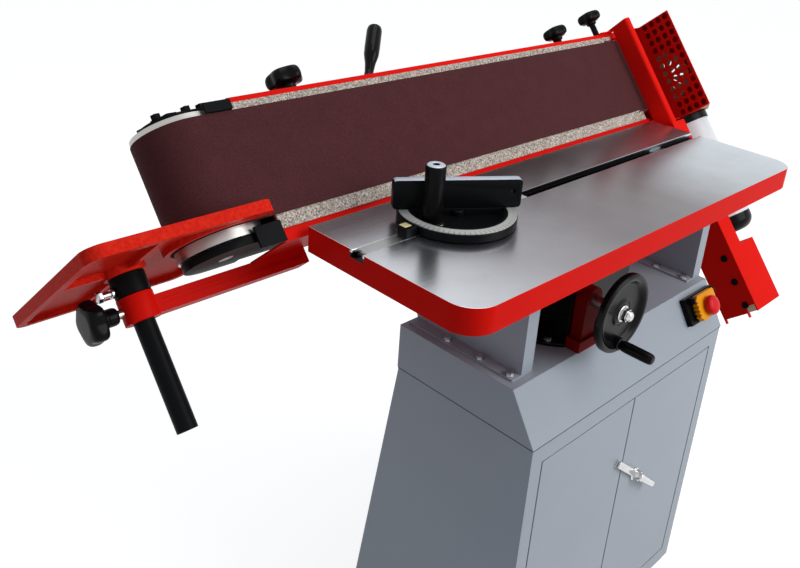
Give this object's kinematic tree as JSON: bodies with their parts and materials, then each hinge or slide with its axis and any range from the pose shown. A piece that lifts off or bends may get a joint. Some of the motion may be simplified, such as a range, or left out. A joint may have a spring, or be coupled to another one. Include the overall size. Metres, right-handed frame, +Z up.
{
  "type": "edge sander",
  "caption": "Stationary edge sander: tilting belt head with platen, cast table with handwheel lift and mitre gauge, end table, dust hood, on a sheet-steel cabinet.",
  "frame": {"origin": "on the floor in the middle of the cabinet base", "axes": "+X along the belt to the right, +Y to the back, +Z up"},
  "size_m": [1.36, 0.6799, 1.01],
  "materials": {
    "red_paint": "gloss",
    "grey_paint": "satin",
    "black_plastic": "satin",
    "bright_steel": "ground",
    "zinc_plated": "zinc plated",
    "chrome_plate": "polished",
    "yellow_plastic": "gloss",
    "red_plastic": "gloss",
    "green_plastic": "gloss",
    "black_iron": "black enamel",
    "ground_iron": "ground top",
    "brass_plate": "brushed",
    "graphite_cloth": "speckled",
    "abrasive_cloth": "rough",
    "black_steel": "satin",
    "belt_rubber": "matte",
    "pale_plastic": "satin",
    "motor_grey": "painted"
  },
  "bodies": {
    "base": {"cabinet_shell": "grey_paint", "cabinet_hood": "grey_paint", "cabinet_feet": "grey_paint", "left_bracket": "grey_paint", "right_bracket": "grey_paint", "bracket_bolts": "zinc_plated", "hinge_pins": "bright_steel", "switch_base": "black_plastic", "column_housing": "black_iron", "wheel_bearing": "red_paint"},
    "left_door": {"left_door": "grey_paint", "latch_keeper": "chrome_plate"},
    "right_door": {"right_door": "grey_paint"},
    "latch": {"door_latch": "chrome_plate"},
    "flap": {"switch_flap": "yellow_plastic"},
    "stop_button": {"stop_button": "red_plastic"},
    "start_button": {"start_button": "green_plastic"},
    "table": {"main_table": "ground_iron", "table_column": "bright_steel"},
    "wheel": {"handwheel": "black_iron", "wheel_shaft": "bright_steel", "hub_nut": "zinc_plated"},
    "crank": {"crank_handle": "black_plastic"},
    "mitre_slide": {"mitre_bar": "bright_steel", "mitre_pointer": "brass_plate"},
    "mitre_head": {"mitre_body": "black_plastic", "mitre_fence": "black_plastic", "mitre_scale": "zinc_plated"},
    "mitre_lock": {"mitre_handle": "black_plastic"},
    "head": {"pivot_pins": "bright_steel", "head_frame": "red_paint", "platen": "graphite_cloth", "sanding_belt": "abrasive_cloth", "end_blocks": "black_steel", "head_bolts": "black_steel", "drive_bearings": "bright_steel", "v_belt": "belt_rubber", "motor_body": "motor_grey", "drive_cover": "red_paint", "work_stop": "red_paint", "grille": "red_paint", "dust_hood": "red_paint", "dust_port": "pale_plastic", "outlet_spigot": "black_plastic", "dust_duct": "red_paint", "end_arm": "red_paint"},
    "drive_roller": {"drive_drum": "bright_steel", "drive_shaft": "bright_steel"},
    "rotor": {"motor_rotor": "bright_steel"},
    "idler_carriage": {"idler_yoke": "black_steel", "idler_shaft": "bright_steel", "idler_bearings": "bright_steel"},
    "idler_roller": {"idler_drum": "bright_steel"},
    "tracking_knob": {"tracking_knob": "black_plastic"},
    "tension_lever": {"tension_lever": "black_plastic"},
    "stop_knob": {"stop_knob": "black_plastic"},
    "guard_knob": {"guard_knob": "black_plastic"},
    "end_table": {"end_table": "red_paint", "end_post": "black_steel"},
    "end_knob": {"end_knob": "black_plastic"}
  },
  "joints": [
    {"name": "left_door_hinge", "type": "hinge", "parent": "base", "child": "left_door", "pos_m": [-0.228, -0.163, 0.275], "axis": [0, 0, -1], "range_deg": [0, 95]},
    {"name": "right_door_hinge", "type": "hinge", "parent": "base", "child": "right_door", "pos_m": [0.228, -0.163, 0.275], "axis": [0, 0, 1], "range_deg": [0, 95]},
    {"name": "latch_turn", "type": "hinge", "parent": "right_door", "child": "latch", "pos_m": [0.05, -0.173, 0.331], "axis": [0, 1, 0], "range_deg": [0, 90]},
    {"name": "flap_hinge", "type": "hinge", "parent": "base", "child": "flap", "pos_m": [0.211, -0.15152, 0.61057], "axis": [-1, 0, 0], "range_deg": [0, 100]},
    {"name": "stop_press", "type": "slide", "parent": "flap", "child": "stop_button", "axis": [0, 0.8474, -0.531], "range_m": [0, 0.0025], "stiffness_N_per_m": 1500},
    {"name": "start_press", "type": "slide", "parent": "base", "child": "start_button", "axis": [0, 0.8474, -0.531], "range_m": [0, 0.002], "stiffness_N_per_m": 1500},
    {"name": "table_height", "type": "slide", "parent": "base", "child": "table", "axis": [0, 0, 1], "range_m": [-0.008, 0.06]},
    {"name": "handwheel_turn", "type": "hinge", "parent": "base", "child": "wheel", "pos_m": [-0.091, -0.172, 0.693], "axis": [0, -1, 0], "range_deg": [-34, 247]},
    {"name": "crank_spin", "type": "hinge", "parent": "wheel", "child": "crank", "pos_m": [-0.091, -0.2, 0.644], "axis": [0, -1, 0], "continuous": true},
    {"name": "mitre_travel", "type": "slide", "parent": "table", "child": "mitre_slide", "axis": [1, 0, 0], "range_m": [-0.08, 0.4]},
    {"name": "mitre_turn", "type": "hinge", "parent": "mitre_slide", "child": "mitre_head", "pos_m": [-0.243, 0.023, 0.81], "axis": [0, 0, 1], "range_deg": [-115, 2]},
    {"name": "mitre_lock_turn", "type": "hinge", "parent": "mitre_slide", "child": "mitre_lock", "pos_m": [-0.293, 0.023, 0.85], "axis": [0, 0, 1], "range_deg": [0, 180]},
    {"name": "head_tilt", "type": "hinge", "parent": "base", "child": "head", "pos_m": [0, 0.15, 0.795], "axis": [-1, 0, 0], "range_deg": [-39.5, 50.5]},
    {"name": "drive_spin", "type": "hinge", "parent": "head", "child": "drive_roller", "pos_m": [0.427, 0.23993, 0.84593], "axis": [0, 0.6361, 0.7716], "continuous": true},
    {"name": "rotor_spin", "type": "hinge", "parent": "head", "child": "rotor", "pos_m": [0.35, 0.39258, 0.81729], "axis": [0, 0.6361, 0.7716], "continuous": true},
    {"name": "idler_travel", "type": "slide", "parent": "head", "child": "idler_carriage", "axis": [1, 0, 0], "range_m": [0, 0.012]},
    {"name": "idler_spin", "type": "hinge", "parent": "idler_carriage", "child": "idler_roller", "pos_m": [-0.5145, 0.23993, 0.84593], "axis": [0, 0.6361, 0.7716], "continuous": true},
    {"name": "tension_lever_turn", "type": "hinge", "parent": "head", "child": "tension_lever", "pos_m": [-0.226, 0.24223, 0.89587], "axis": [0, 0.7716, -0.6361], "range_deg": [-62.5, 0.5]},
    {"name": "tracking_turn", "type": "hinge", "parent": "head", "child": "tracking_knob", "pos_m": [-0.331, 0.29533, 0.94929], "axis": [0, 0.6361, 0.7716], "range_deg": [-180, 180]},
    {"name": "stop_knob_turn", "type": "hinge", "parent": "head", "child": "stop_knob", "pos_m": [0.284, 0.272, 0.95557], "axis": [0, 0.6361, 0.7716], "range_deg": [-180, 180]},
    {"name": "guard_knob_turn", "type": "hinge", "parent": "head", "child": "guard_knob", "pos_m": [0.42, 0.2933, 0.97041], "axis": [0, 0.6361, 0.7716], "range_deg": [-180, 180]},
    {"name": "end_table_height", "type": "slide", "parent": "head", "child": "end_table", "axis": [0, 0.6361, 0.7716], "range_m": [0, 0.1]},
    {"name": "end_knob_turn", "type": "hinge", "parent": "head", "child": "end_knob", "pos_m": [-0.68, 0.19705, 0.72316], "axis": [1, 0, 0], "range_deg": [-180, 180]}
  ],
  "couplings": [
    {"joint": "handwheel_turn", "follows": "table_height", "rad_per_m": 71.429},
    {"joint": "rotor_spin", "follows": "drive_spin", "ratio": 1},
    {"joint": "idler_spin", "follows": "drive_spin", "ratio": 1},
    {"joint": "tension_lever_turn", "follows": "idler_travel", "rad_per_m": -90.175}
  ]
}
